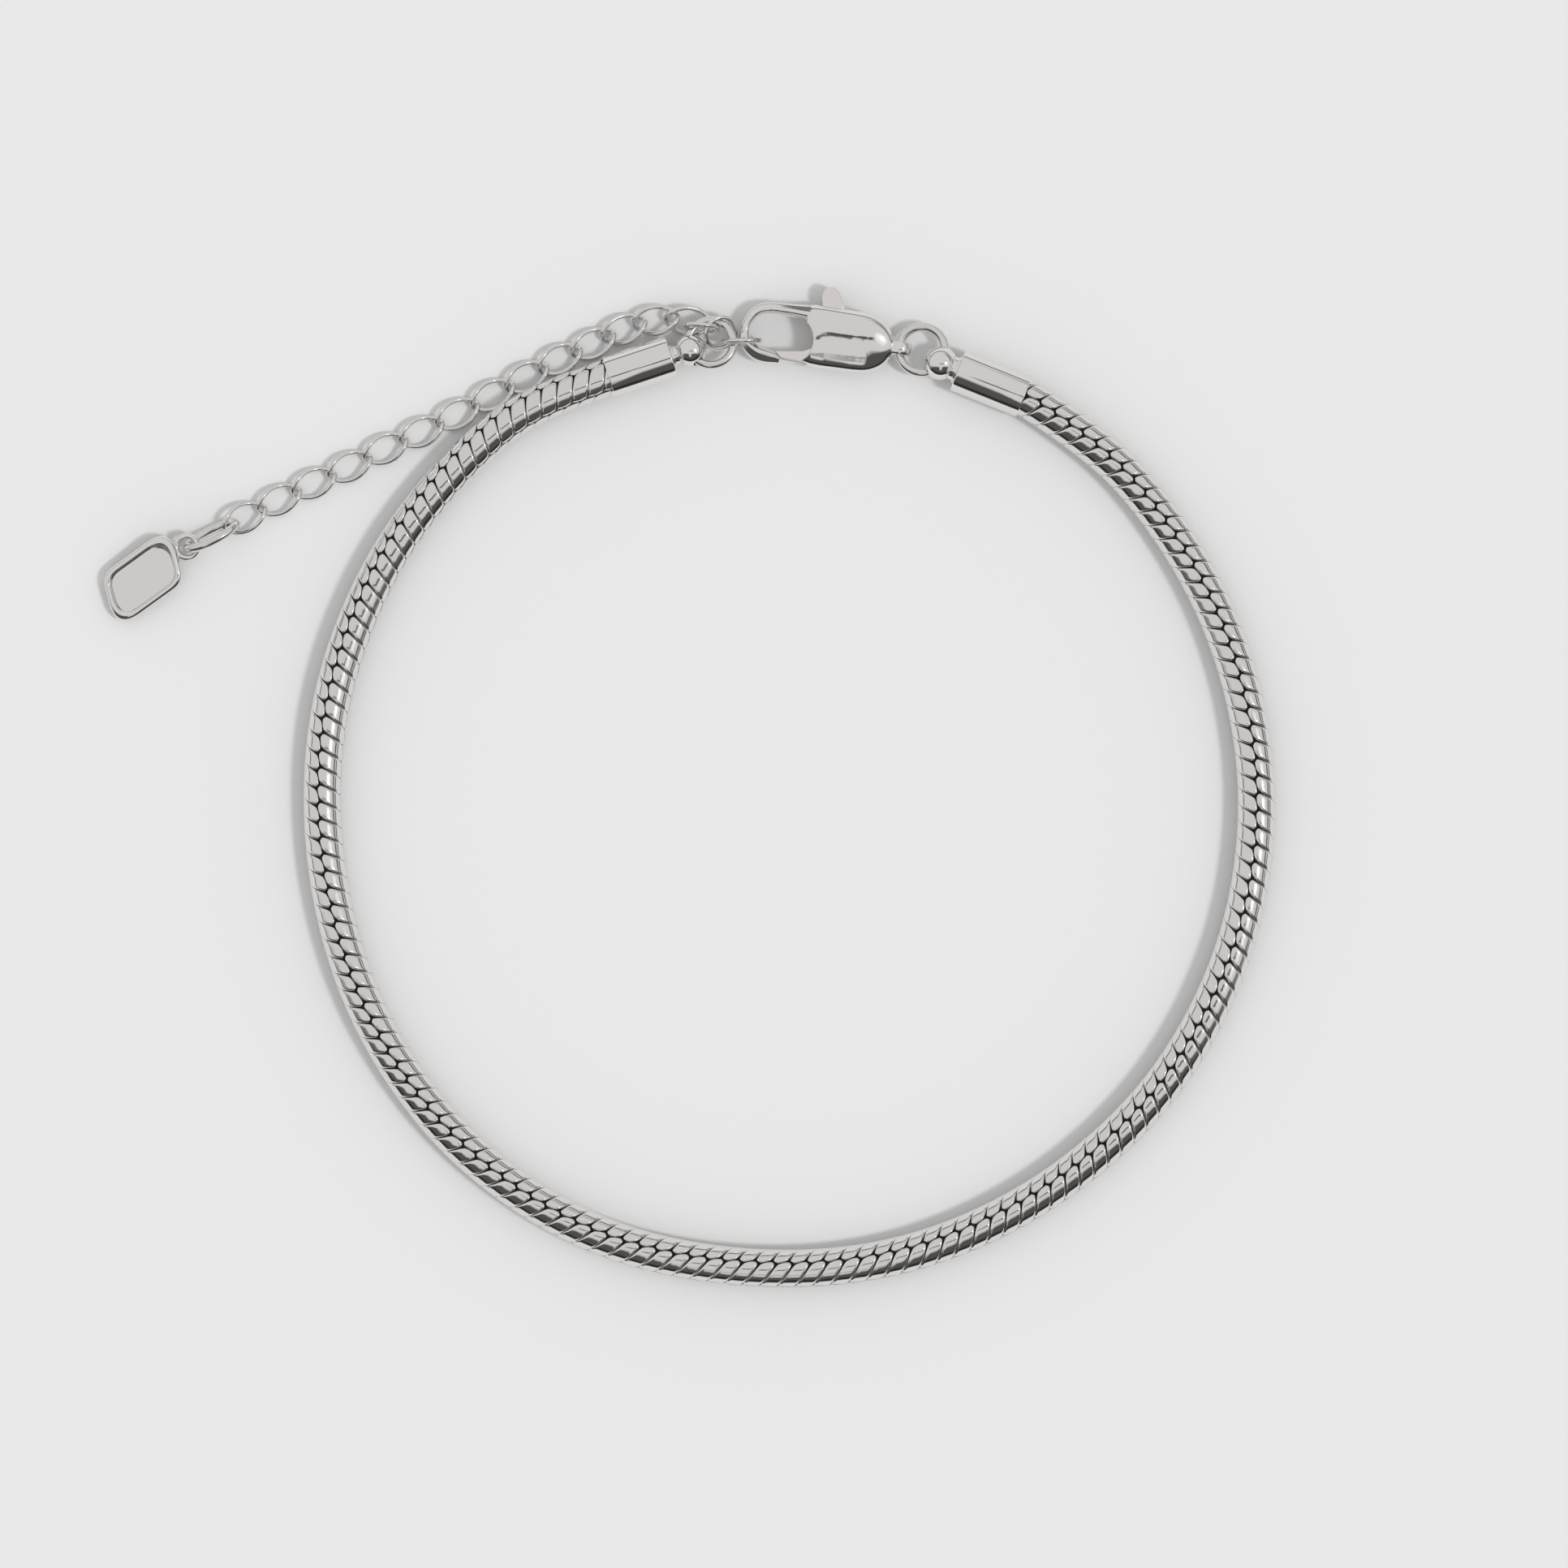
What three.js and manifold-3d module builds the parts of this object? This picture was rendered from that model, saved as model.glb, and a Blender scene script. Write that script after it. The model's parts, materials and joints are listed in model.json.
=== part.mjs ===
// Chain anklet in polished silver-tone metal, lying on a flat surface as a closed loop.
// Millimetres, +Z up. X and Y are the plan of the lying anklet, Z = 0 is the surface it lies on.
import * as THREE from "three";
import Module from "manifold-3d";

const wasm = await Module();
wasm.setup();

// Snake chain
const CHAIN_RADIUS = 1.5;
const GROOVE_DEPTH = 0.13;
const SCALE_ROWS = 146;
const SCALE_COLUMNS = 4;
const POINTS_PER_COLUMN = 3;
const SCALE_SLANT = 0.75;
const CURVE_DIVISIONS = 2000;

// The lying chain's centreline, from the left cap's mouth round to the right cap's mouth
const CHAIN_ROUTE = [
  { x: -21.5, y: 28.2 },
  { x: -30.3, y: 18.6 },
  { x: -35.2, y: 6.7 },
  { x: -35.7, y: -6.0 },
  { x: -32.3, y: -18.0 },
  { x: -25.1, y: -28.1 },
  { x: -14.8, y: -35.0 },
  { x: -2.8, y: -37.7 },
  { x: 9.3, y: -36.7 },
  { x: 20.5, y: -31.7 },
  { x: 29.6, y: -23.3 },
  { x: 35.3, y: -12.1 },
  { x: 36.8, y: 0.4 },
  { x: 33.9, y: 12.9 },
  { x: 26.9, y: 23.9 },
];

// Where the zip of interlocked scale ends lies: degrees from the top of the chain to its outer side
const SEAM_TURNS = [
  { along: 0.0, degrees: 22 },
  { along: 0.27, degrees: 8 },
  { along: 0.42, degrees: -12 },
  { along: 0.5, degrees: -23 },
  { along: 0.6, degrees: -20 },
  { along: 0.78, degrees: -3 },
  { along: 1.0, degrees: 8 },
];

// End caps: barrel, collar and bead eyelet turned on one axis
const CAP_RADIUS = 1.68;
const CAP_BORE_RADIUS = 1.52;
const CAP_BORE_DEPTH = 1.6;
const CAP_EDGE = 0.18;
const CAP_LIP = { inset: 0.04, length: 0.12 };
const COLLAR_LENGTH = 0.5;
const CHAIN_IN_CAP = 1.3;
const RING_CLEARANCE = 0.38;
const CAP_SIDES = 16;
const BEAD_DEGREES = [118, 95, 70, 45, 22];
const CAP_LEFT = { x: -13.67, y: 31.71, heading: 18.4, length: 5.2, collar: 0.78, bead: 1.27 };
const CAP_RIGHT = { x: 18.73, y: 30.19, heading: 158.1, length: 5.6, collar: 0.95, bead: 1.33 };

// Rings of round wire: centre, half sizes of the wire's centreline, heading, lean and pitch in degrees
const WIRE_SIDES = 6;
const JUMP_WIRE = 0.34;
const THIN_WIRE = 0.19;
const TANGENT_STEP = 0.01;
const RINGS = {
  jump_ring_left: {
    x: -5.7, y: 34.4, z: 1.76, long: 1.76, wide: 1.76, heading: 27.5, pitch: -6.9, lean: -4, wire: JUMP_WIRE,
  },
  jump_ring_right: {
    x: 10.76, y: 33.86, z: 1.52, long: 1.8, wide: 1.8, heading: -38, pitch: 2, lean: 0, wire: JUMP_WIRE,
  },
  connector_link: {
    x: -4.93, y: 35.17, z: 1.57, long: 1.26, wide: 1.26, heading: 132.4, pitch: 30.5, lean: 5.3, wire: THIN_WIRE,
  },
  fastening_link: {
    x: -3.33, y: 34.59, z: 1.47, long: 1.46, wide: 1.26, heading: 1.3, pitch: 7.2, lean: 93.3, wire: THIN_WIRE,
  },
  extender_link_00: {
    x: -6.45, y: 35.57, z: 1.68, long: 1.26, wide: 1.26, heading: 0, pitch: 35, lean: 80.4, wire: THIN_WIRE,
  },
  tag_jump_ring: {
    x: -44.64, y: 19.38, z: 1.48, long: 2.1, wide: 1.25, heading: 28, pitch: -6.3, lean: -67, wire: JUMP_WIRE,
  },
};

// Extender: twisted oval curb links, from the anklet to the tag
const LINK_HALF_LENGTH = 1.79;
const LINK_HALF_WIDTH = 1.04;
const LINK_TWIST = 45;
const LINK_STEPS = 14;
const RING_STEPS = 14;
const EXTENDER_LINKS = [
  { x: -7.47, y: 36.14, pitch: 4.5, lean: 10.6, heading: -8, lift: 0.07 },
  { x: -9.99, y: 36.2, pitch: 8.8, lift: 0.14 },
  { x: -12.5, y: 35.5, pitch: 5.8 },
  { x: -14.9, y: 34.4, pitch: 2 },
  { x: -17.5, y: 33.2, pitch: 0 },
  { x: -20.1, y: 31.8, pitch: 0 },
  { x: -22.74, y: 30.39, pitch: 0 },
  { x: -25.5, y: 28.9, pitch: 0 },
  { x: -28.3, y: 27.5, pitch: 0 },
  { x: -31.1, y: 26.2, pitch: 0 },
  { x: -33.9, y: 24.8, pitch: 0 },
  { x: -36.7, y: 23.5, pitch: 0 },
  { x: -39.4, y: 22.2, pitch: 0 },
  { x: -42.11, y: 20.79, pitch: -5.8, lift: 0.14 },
];

// Tag: slanted plate with a raised rim, pitched up to its eyelet
const TAG = { x: -49.9, y: 16.1, heading: 35.5, pitch: 6.3 };
const TAG_HALF_ACROSS = 2.14;
const TAG_HALF_ALONG = 3.12;
const TAG_SLANT = 69;
const TAG_CORNER = 1.35;
const TAG_THICK = 1.3;
const TAG_RIM = 0.55;
const TAG_FIELD_DEPTH = 0.35;
const TAG_EYELET = { along: 4.2, outer: 1.0, inner: 0.62, thick: 0.5 };
const EYELET_SIDES = 16;
const TAG_CURVE_STEPS = 5;

// Clasp, in its own frame: u along its body to the tail, v across it to the thumb nub's side
const CLASP = { x: 4.68, y: 34.61, heading: -8.5 };
const CLASP_ROUNDNESS = 2.6;
const CLASP_SIDES = 16;
const CLASP_BODY_SECTIONS = [
  { u: -3.1, halfWidth: 2.3, halfThick: 1.05 },
  { u: -2.5, halfWidth: 2.46, halfThick: 1.3 },
  { u: -1.4, halfWidth: 2.5, halfThick: 1.5 },
  { u: 0.9, halfWidth: 2.46, halfThick: 1.5 },
  { u: 2.0, halfWidth: 2.33, halfThick: 1.4 },
  { u: 2.8, halfWidth: 2.0, halfThick: 1.22 },
  { u: 3.4, halfWidth: 1.5, halfThick: 1.0 },
  { u: 3.85, halfWidth: 0.8, halfThick: 0.75 },
  { u: 4.1, halfWidth: 0.5, halfThick: 0.6 },
];
const HOOK_SECTIONS = [
  { u: -1.9, v: 1.6, width: 1.3, thick: 2.1 },
  { u: -2.9, v: 1.72, width: 1.2, thick: 2.0 },
  { u: -3.9, v: 1.72, width: 1.05, thick: 1.75 },
  { u: -5.0, v: 1.7, width: 0.95, thick: 1.6 },
  { u: -6.0, v: 1.66, width: 0.9, thick: 1.5 },
  { u: -6.8, v: 1.43, width: 0.88, thick: 1.45 },
  { u: -7.4, v: 0.85, width: 0.82, thick: 1.4 },
  { u: -7.74, v: 0.0, width: 0.76, thick: 1.35 },
  { u: -7.7, v: -0.85, width: 0.84, thick: 1.3 },
  { u: -7.3, v: -1.55, width: 1.0, thick: 1.3 },
  { u: -6.6, v: -2.0, width: 1.15, thick: 1.35 },
  { u: -5.85, v: -2.13, width: 1.14, thick: 1.4 },
  { u: -5.0, v: -2.18, width: 0.86, thick: 1.35 },
];
const HOOK_SIDES = 8;
const HOOK_MOUTH = { u: -4.2, v: -0.38, radius: 1.85, cut: 4, sides: 24 };
const TAIL_LOOP = { u: 4.38, outer: 0.95, inner: 0.58, width: 1.1, sides: 14 };
const PIVOT = { u: -0.9, v: -0.5, pin: 0.45, clearance: 0.08, overlap: 0.4, sides: 16 };

// Lever: the gate, its hub and the thumb nub in one flat plate
const LEVER_THICK = 1.1;
const LEVER_SIDE_GAP = 0.13;
const LEVER_OUTLINE = [
  { u: -4.62, v: -2.05 },
  { u: -3.05, v: -2.25 },
  { u: -1.6, v: -1.72 },
  { u: -0.6, v: -1.5 },
  { u: 0.05, v: -0.9 },
  { u: 0.1, v: 0.1 },
  { u: -0.4, v: 1.2 },
  { u: -0.36, v: 2.5 },
  { u: -0.62, v: 3.2 },
  { u: -1.08, v: 3.76 },
  { u: -1.57, v: 3.96 },
  { u: -2.0, v: 3.76 },
  { u: -2.2, v: 3.2 },
  { u: -2.06, v: 2.4 },
  { u: -1.7, v: 0.7 },
  { u: -2.0, v: -0.75 },
  { u: -2.95, v: -1.28 },
  { u: -4.98, v: -1.72 },
];
const SLOT_OUTLINE = [
  { u: -3.6, v: -2.6 },
  { u: -1.6, v: -2.05 },
  { u: -0.4, v: -1.75 },
  { u: 0.35, v: -1.0 },
  { u: 0.45, v: 0.2 },
  { u: 0.5, v: 1.2 },
  { u: 1.1, v: 2.9 },
  { u: -2.4, v: 2.9 },
  { u: -1.95, v: 0.8 },
  { u: -3.0, v: 0.35 },
];

const POLISHED = { color: 0xcfccca, roughness: 0.12, metalness: 1 };
const BRIGHT = { color: 0xd8d6d3, roughness: 0.08, metalness: 1 };

const radians = THREE.MathUtils.degToRad;

function toManifold(geometry) {
  const corners = geometry.getAttribute("position");
  const places = new Map();
  const vertices = [];
  const merged = [];
  for (let i = 0; i < corners.count; i += 1) {
    const at = [corners.getX(i), corners.getY(i), corners.getZ(i)];
    const key = at.map((value) => Math.round(value * 1e5)).join(",");
    if (!places.has(key)) {
      places.set(key, vertices.length / 3);
      vertices.push(...at);
    }
    merged.push(places.get(key));
  }
  const order = geometry.index ? Array.from(geometry.index.array) : merged.map((_, i) => i);
  const triangles = [];
  for (let i = 0; i < order.length; i += 3) {
    const [a, b, c] = [merged[order[i]], merged[order[i + 1]], merged[order[i + 2]]];
    if (a !== b && b !== c && c !== a) {
      triangles.push(a, b, c);
    }
  }
  return new wasm.Manifold(new wasm.Mesh({
    numProp: 3,
    vertProperties: new Float32Array(vertices),
    triVerts: new Uint32Array(triangles),
  }));
}

function fromManifold(solid) {
  const { vertProperties, triVerts } = solid.getMesh();
  const geometry = new THREE.BufferGeometry();
  geometry.setAttribute("position", new THREE.BufferAttribute(vertProperties.slice(), 3));
  geometry.setIndex(new THREE.BufferAttribute(triVerts.slice(), 1));
  return geometry;
}

// Skin through sections of equal point counts, each counter-clockwise about the way of travel
function skin(sections, isRing) {
  const sides = sections[0].length;
  const positions = sections.flat().flatMap((point) => [point.x, point.y, point.z]);
  const index = [];
  const spans = isRing ? sections.length : sections.length - 1;
  for (let i = 0; i < spans; i += 1) {
    const near = i * sides;
    const far = ((i + 1) % sections.length) * sides;
    for (let k = 0; k < sides; k += 1) {
      const next = (k + 1) % sides;
      index.push(near + k, near + next, far + next);
      index.push(near + k, far + next, far + k);
    }
  }
  const end = (sections.length - 1) * sides;
  for (let k = 1; k < sides - 1 && !isRing; k += 1) {
    index.push(0, k + 1, k);
    index.push(end, end + k, end + k + 1);
  }
  const geometry = new THREE.BufferGeometry();
  geometry.setAttribute("position", new THREE.Float32BufferAttribute(positions, 3));
  geometry.setIndex(index);
  return geometry;
}

// Closed ring of round wire along pointAt(angle), which runs once round the ring's centre
function wireRing(pointAt, wireRadius, steps) {
  const sections = [];
  for (let i = 0; i < steps; i += 1) {
    const angle = (2 * Math.PI * i) / steps;
    const centre = pointAt(angle);
    const tangent = pointAt(angle + TANGENT_STEP).sub(pointAt(angle - TANGENT_STEP)).normalize();
    const outward = centre.clone().addScaledVector(tangent, -centre.dot(tangent)).normalize();
    const side = new THREE.Vector3().crossVectors(tangent, outward);
    const section = [];
    for (let k = 0; k < WIRE_SIDES; k += 1) {
      const turn = (2 * Math.PI * k) / WIRE_SIDES;
      section.push(centre.clone()
        .addScaledVector(outward, wireRadius * Math.cos(turn))
        .addScaledVector(side, wireRadius * Math.sin(turn)));
    }
    sections.push(section);
  }
  return skin(sections, true);
}

function ringGeometry({ long, wide, wire }) {
  const pointAt = (angle) => new THREE.Vector3(long * Math.cos(angle), wide * Math.sin(angle), 0);
  return wireRing(pointAt, wire, RING_STEPS);
}

// Oval link whose two ends are twisted opposite ways, so that neighbours cross at a right angle
function curbLinkGeometry() {
  const pointAt = (angle) => {
    const twist = -radians(LINK_TWIST) * Math.cos(angle);
    const across = LINK_HALF_WIDTH * Math.sin(angle);
    return new THREE.Vector3(
      LINK_HALF_LENGTH * Math.cos(angle),
      across * Math.cos(twist),
      across * Math.sin(twist),
    );
  };
  return wireRing(pointAt, THIN_WIRE, LINK_STEPS);
}

// Leans a piece about its long axis, pitches it, then turns it to its heading
function orient(geometry, { lean = 0, pitch = 0, heading = 0 }) {
  geometry.rotateX(radians(lean));
  geometry.rotateY(-radians(pitch));
  geometry.rotateZ(radians(heading));
  return geometry;
}

function piece(name, geometry, finish) {
  const mesh = new THREE.Mesh(geometry, new THREE.MeshStandardMaterial(finish));
  mesh.name = name;
  return mesh;
}

function headingVector(heading) {
  return new THREE.Vector3(Math.cos(radians(heading)), Math.sin(radians(heading)), 0);
}

function seamTurn(along) {
  const after = SEAM_TURNS.findIndex((row) => row.along >= along);
  const to = SEAM_TURNS[Math.max(after, 1)];
  const from = SEAM_TURNS[Math.max(after, 1) - 1];
  const share = (along - from.along) / (to.along - from.along);
  return radians(THREE.MathUtils.lerp(from.degrees, to.degrees, share));
}

function chainCurve() {
  const insideCap = (cap, depth) => new THREE.Vector3(cap.x, cap.y, CAP_RADIUS)
    .addScaledVector(headingVector(cap.heading), depth);
  return new THREE.CatmullRomCurve3([
    insideCap(CAP_LEFT, CHAIN_IN_CAP),
    insideCap(CAP_LEFT, 0),
    ...CHAIN_ROUTE.map(({ x, y }) => new THREE.Vector3(x, y, CHAIN_RADIUS)),
    insideCap(CAP_RIGHT, 0),
    insideCap(CAP_RIGHT, CHAIN_IN_CAP),
  ], false, "centripetal");
}

// One section of the chain: each column of scales slants, and steps back at its seams
function chainSection(curve, travel, length, radius, slant) {
  const sides = SCALE_COLUMNS * POINTS_PER_COLUMN;
  const centre = curve.getPointAt(travel / length);
  const tangent = curve.getTangentAt(travel / length);
  const up = new THREE.Vector3(0, 0, 1);
  const outward = new THREE.Vector3().crossVectors(tangent, up).normalize();
  const seam = seamTurn(travel / length);
  const section = [];
  for (let k = 0; k < sides; k += 1) {
    const turn = seam + (2 * Math.PI * k) / sides;
    const across = (k % POINTS_PER_COLUMN) / POINTS_PER_COLUMN;
    const shift = across === 0 ? 0 : slant * (0.5 - across);
    section.push(centre.clone()
      .addScaledVector(up, radius * Math.cos(turn))
      .addScaledVector(outward, radius * Math.sin(turn))
      .addScaledVector(tangent, shift));
  }
  return section;
}

function snakeChain() {
  const curve = chainCurve();
  curve.arcLengthDivisions = CURVE_DIVISIONS;
  const length = curve.getLength();
  const row = (length - 2 * CHAIN_IN_CAP) / SCALE_ROWS;
  const groove = CHAIN_RADIUS - GROOVE_DEPTH;
  const sections = [chainSection(curve, 0, length, groove, 0)];
  for (let i = 0; i <= 2 * SCALE_ROWS; i += 1) {
    const radius = i % 2 === 0 ? groove : CHAIN_RADIUS;
    const travel = CHAIN_IN_CAP + (i * row) / 2;
    sections.push(chainSection(curve, travel, length, radius, SCALE_SLANT * row));
  }
  sections.push(chainSection(curve, length, length, groove, 0));
  return piece("snake_chain", skin(sections, false), POLISHED);
}

// Barrel, collar and bead turned about +X from the barrel's mouth, bored for the chain and the ring
function endCap(name, cap, ring) {
  const shoulder = cap.length + COLLAR_LENGTH;
  const beadCentre = shoulder + Math.sqrt(cap.bead ** 2 - cap.collar ** 2);
  const profile = [
    [0, CAP_BORE_DEPTH],
    [CAP_BORE_RADIUS, CAP_BORE_DEPTH],
    [CAP_BORE_RADIUS, 0],
    [CAP_RADIUS - CAP_LIP.inset, 0],
    [CAP_RADIUS, CAP_LIP.length],
    [CAP_RADIUS, cap.length - CAP_EDGE],
    [CAP_RADIUS - CAP_EDGE, cap.length],
    [cap.collar, cap.length],
    [cap.collar, shoulder],
  ];
  for (const degrees of BEAD_DEGREES) {
    const turn = radians(degrees);
    profile.push([cap.bead * Math.sin(turn), beadCentre + cap.bead * Math.cos(turn)]);
  }
  profile.push([0, beadCentre + cap.bead]);
  const points = profile.map(([radius, along]) => new THREE.Vector2(radius, along));
  const turned = new THREE.LatheGeometry(points, CAP_SIDES);
  turned.rotateZ(-Math.PI / 2);
  turned.rotateZ(radians(cap.heading));
  turned.translate(cap.x, cap.y, CAP_RADIUS);
  const bore = orient(ringGeometry({ ...ring, wire: ring.wire + RING_CLEARANCE }), ring);
  bore.translate(ring.x, ring.y, ring.z);
  const solid = toManifold(turned).subtract(toManifold(bore));
  return piece(name, fromManifold(solid), BRIGHT);
}

function wireRings() {
  return Object.entries(RINGS).map(([name, ring]) => {
    const mesh = piece(name, orient(ringGeometry(ring), ring), POLISHED);
    mesh.position.set(ring.x, ring.y, ring.z);
    return mesh;
  });
}

function extenderLinks() {
  return EXTENDER_LINKS.map((link, i) => {
    const before = EXTENDER_LINKS[Math.max(i - 1, 0)];
    const after = EXTENDER_LINKS[Math.min(i + 1, EXTENDER_LINKS.length - 1)];
    const heading = THREE.MathUtils.radToDeg(Math.atan2(before.y - after.y, before.x - after.x));
    const geometry = orient(curbLinkGeometry(), { heading, ...link });
    geometry.computeBoundingBox();
    const mesh = piece(`extender_link_${String(i + 1).padStart(2, "0")}`, geometry, POLISHED);
    mesh.position.set(link.x, link.y, (link.lift ?? 0) - geometry.boundingBox.min.z);
    return mesh;
  });
}

// Slanted plate with rounded corners, its edges inset from the tag's outline
function tagShape(inset) {
  const across = TAG_HALF_ACROSS - inset;
  const along = (TAG_HALF_ALONG - inset) / Math.sin(radians(TAG_SLANT));
  const lean = across / Math.tan(radians(TAG_SLANT));
  const corners = [
    new THREE.Vector2(-along - lean, -across),
    new THREE.Vector2(along - lean, -across),
    new THREE.Vector2(along + lean, across),
    new THREE.Vector2(-along + lean, across),
  ];
  const shape = new THREE.Shape();
  corners.forEach((corner, i) => {
    const toLast = corners[(i + 3) % 4].clone().sub(corner).normalize();
    const toNext = corners[(i + 1) % 4].clone().sub(corner).normalize();
    const reach = (TAG_CORNER - inset / 2) / Math.tan(Math.acos(toLast.dot(toNext)) / 2);
    const start = corner.clone().addScaledVector(toLast, reach);
    const stop = corner.clone().addScaledVector(toNext, reach);
    if (i === 0) {
      shape.moveTo(start.x, start.y);
    } else {
      shape.lineTo(start.x, start.y);
    }
    shape.quadraticCurveTo(corner.x, corner.y, stop.x, stop.y);
  });
  shape.closePath();
  return shape;
}

function extrude(shape, depth, floor) {
  const geometry = new THREE.ExtrudeGeometry(shape, { depth, bevelEnabled: false, curveSegments: TAG_CURVE_STEPS });
  geometry.translate(0, 0, floor);
  return geometry;
}

// Upright disc at the tag's eyelet, centred in the tag's thickness
function upDisc(radius, thick) {
  const geometry = new THREE.CylinderGeometry(radius, radius, thick, EYELET_SIDES);
  geometry.rotateX(Math.PI / 2);
  geometry.translate(TAG_EYELET.along, 0, TAG_THICK / 2);
  return geometry;
}

function tag() {
  const plate = toManifold(extrude(tagShape(0), TAG_THICK, 0));
  const field = toManifold(extrude(tagShape(TAG_RIM), TAG_FIELD_DEPTH * 2, TAG_THICK - TAG_FIELD_DEPTH));
  const eyelet = upDisc(TAG_EYELET.outer, TAG_EYELET.thick);
  const hole = upDisc(TAG_EYELET.inner, TAG_THICK * 2);
  const solid = plate.add(toManifold(eyelet)).subtract(toManifold(hole)).subtract(field);
  const geometry = orient(fromManifold(solid), TAG);
  geometry.computeBoundingBox();
  const mesh = piece("tag", geometry, POLISHED);
  mesh.position.set(TAG.x, TAG.y, -geometry.boundingBox.min.z);
  return mesh;
}

function roundedSection(halfWidth, halfThick, sides) {
  const section = [];
  for (let k = 0; k < sides; k += 1) {
    const turn = (2 * Math.PI * (k + 0.5)) / sides;
    const power = 2 / CLASP_ROUNDNESS;
    const across = Math.sign(Math.cos(turn)) * Math.abs(Math.cos(turn)) ** power;
    const rise = Math.sign(Math.sin(turn)) * Math.abs(Math.sin(turn)) ** power;
    section.push({ across: halfWidth * across, rise: halfThick * rise });
  }
  return section;
}

function claspPillow() {
  const sections = CLASP_BODY_SECTIONS.map(({ u, halfWidth, halfThick }) => (
    roundedSection(halfWidth, halfThick, CLASP_SIDES)
      .map(({ across, rise }) => new THREE.Vector3(u, across, rise))
  ));
  return skin(sections, false);
}

function claspHook() {
  const sections = HOOK_SECTIONS.map((row, i) => {
    const from = HOOK_SECTIONS[Math.max(i - 1, 0)];
    const to = HOOK_SECTIONS[Math.min(i + 1, HOOK_SECTIONS.length - 1)];
    const travel = new THREE.Vector3(to.u - from.u, to.v - from.v, 0).normalize();
    const left = new THREE.Vector3(-travel.y, travel.x, 0);
    return roundedSection(row.width / 2, row.thick / 2, HOOK_SIDES)
      .map(({ across, rise }) => new THREE.Vector3(row.u, row.v, rise).addScaledVector(left, across));
  });
  return skin(sections, false);
}

function upright(outline, thick) {
  const shape = new THREE.Shape(outline.map(({ u, v }) => new THREE.Vector2(u, v)));
  return extrude(shape, thick, -thick / 2);
}

function disc(at, radius, thick) {
  const geometry = new THREE.CylinderGeometry(radius, radius, thick, at.sides);
  geometry.rotateX(Math.PI / 2);
  geometry.translate(at.u, at.v, 0);
  return geometry;
}

function tailLoop(radius, width) {
  const geometry = new THREE.CylinderGeometry(radius, radius, width, TAIL_LOOP.sides);
  geometry.translate(TAIL_LOOP.u, 0, 0);
  return geometry;
}

function claspHeight() {
  const widest = Math.max(...CLASP_BODY_SECTIONS.map((row) => row.halfThick));
  return widest * Math.cos(Math.PI / CLASP_SIDES) ** (2 / CLASP_ROUNDNESS);
}

function placeInClasp(mesh) {
  mesh.rotation.z = radians(CLASP.heading);
  mesh.position.set(CLASP.x, CLASP.y, claspHeight());
  return mesh;
}

function claspBody() {
  const thick = LEVER_THICK + 2 * LEVER_SIDE_GAP;
  const solid = toManifold(claspPillow())
    .subtract(toManifold(disc(HOOK_MOUTH, HOOK_MOUTH.radius, HOOK_MOUTH.cut)))
    .add(toManifold(claspHook()))
    .add(toManifold(tailLoop(TAIL_LOOP.outer, TAIL_LOOP.width)))
    .subtract(toManifold(tailLoop(TAIL_LOOP.inner, TAIL_LOOP.width * 2)))
    .subtract(toManifold(upright(SLOT_OUTLINE, thick)))
    .add(toManifold(disc(PIVOT, PIVOT.pin, thick + PIVOT.overlap)));
  return placeInClasp(piece("clasp_body", fromManifold(solid), BRIGHT));
}

function claspLever() {
  const bore = disc(PIVOT, PIVOT.pin + PIVOT.clearance, LEVER_THICK * 2);
  const solid = toManifold(upright(LEVER_OUTLINE, LEVER_THICK)).subtract(toManifold(bore));
  return placeInClasp(piece("clasp_lever", fromManifold(solid), BRIGHT));
}

const anklet = new THREE.Group();
anklet.add(
  snakeChain(),
  endCap("end_cap_left", CAP_LEFT, RINGS.jump_ring_left),
  endCap("end_cap_right", CAP_RIGHT, RINGS.jump_ring_right),
  ...wireRings(),
  ...extenderLinks(),
  tag(),
  claspBody(),
  claspLever(),
);

// The origin lies under the middle of the anklet's box
const box = new THREE.Box3().setFromObject(anklet, true);
const middle = box.getCenter(new THREE.Vector3());
anklet.position.set(-middle.x, -middle.y, -box.min.z);

export default anklet;
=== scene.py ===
"""Chain anklet in polished silver-tone metal, lying closed on a pale surface, seen from above."""
import json
import math
import bmesh
import bpy
import numpy as np
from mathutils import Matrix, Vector


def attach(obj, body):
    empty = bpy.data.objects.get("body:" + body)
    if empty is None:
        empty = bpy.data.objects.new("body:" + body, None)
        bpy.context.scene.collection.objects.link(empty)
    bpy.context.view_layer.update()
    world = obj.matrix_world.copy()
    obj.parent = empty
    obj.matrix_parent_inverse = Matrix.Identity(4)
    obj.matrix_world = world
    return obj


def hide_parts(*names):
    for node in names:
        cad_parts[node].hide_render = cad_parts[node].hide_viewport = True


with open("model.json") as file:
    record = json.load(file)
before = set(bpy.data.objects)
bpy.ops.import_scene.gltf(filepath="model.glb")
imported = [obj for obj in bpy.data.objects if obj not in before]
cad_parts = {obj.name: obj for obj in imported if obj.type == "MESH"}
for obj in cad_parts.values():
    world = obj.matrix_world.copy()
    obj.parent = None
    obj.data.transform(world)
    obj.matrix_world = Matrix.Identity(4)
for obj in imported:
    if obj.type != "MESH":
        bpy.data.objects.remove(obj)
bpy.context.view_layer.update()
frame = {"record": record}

# Sizes below are millimetres in the plan of the lying anklet, as in the part's source
MM = 0.001

# Snake chain
CHAIN_RADIUS = 1.5
CORE_RADIUS = 1.3
SCALE_ROWS = 146
SCALE_COLUMNS = 4
CHAIN_IN_CAP = 1.3
# Rows made past each end of the scaled stretch, and how near the chain's ends plates may reach
SPARE_ROWS = 3
END_MARGIN = 0.1
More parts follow.
